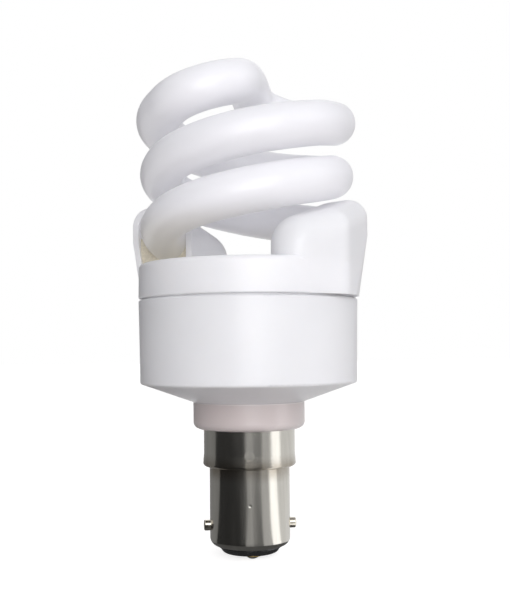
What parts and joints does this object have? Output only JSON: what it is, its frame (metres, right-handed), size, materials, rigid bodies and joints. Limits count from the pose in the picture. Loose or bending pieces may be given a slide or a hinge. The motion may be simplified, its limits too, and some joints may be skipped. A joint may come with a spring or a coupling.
{
  "type": "spiral energy saving bulb",
  "caption": "Compact fluorescent lamp: white coated glass spiral on a round ballast housing with two hoods, conical underside and a bayonet cap.",
  "frame": {"origin": "on the lamp's axis, level with the middle of the bayonet pins", "axes": "+Z along the lamp's axis from the cap to the top of the spiral, +X along the right-hand bayonet pin"},
  "size_m": [0.0428, 0.041, 0.0926],
  "materials": {
    "nickel_cap": "bright nickel plate",
    "pin_brass": "nickel-plated brass",
    "black_insulator": "pressed, glossy",
    "contact_brass": "bare brass",
    "solder": "dull solder",
    "white_plastic": "moulded, satin gloss",
    "coated_glass": "glossy glass with a white coat inside",
    "cement": "matt",
    "board": "phenolic laminate",
    "wire": "tinned wire",
    "ceramic_body": "painted",
    "sleeve": "woven glass fibre",
    "can": "shrink sleeve over aluminium",
    "rubber": "matt",
    "ferrite": "dull",
    "bobbin": "matt",
    "copper": "enamelled copper",
    "black_epoxy": "matt",
    "film_capacitor": "dipped"
  },
  "bodies": {
    "root": {"cap_shell": "nickel_cap", "bayonet_pin_right": "pin_brass", "bayonet_pin_left": "pin_brass", "cap_insulator": "black_insulator", "contact_plates": "contact_brass", "contact_solder": "solder", "lower_housing": "white_plastic", "upper_cover": "white_plastic", "glass_spiral": "coated_glass", "tube_cement": "cement", "tube_leads": "wire", "wire_posts": "wire", "circuit_board": "board", "solder_joints": "solder", "cap_leads": "wire", "fusible_resistor": "ceramic_body", "fuse_sleeve": "sleeve", "capacitor_can": "can", "capacitor_seal": "rubber", "capacitor_leads": "wire", "choke_core": "ferrite", "choke_bobbin": "bobbin", "choke_winding": "copper", "ring_core": "ferrite", "ring_windings": "copper", "drum_core": "ferrite", "drum_coil": "copper", "transistors": "black_epoxy", "diodes": "black_epoxy", "trigger_diode": "ceramic_body", "resistors": "ceramic_body", "tube_capacitor": "film_capacitor", "coupling_capacitor": "film_capacitor", "start_capacitor": "film_capacitor"}
  },
  "joints": []
}
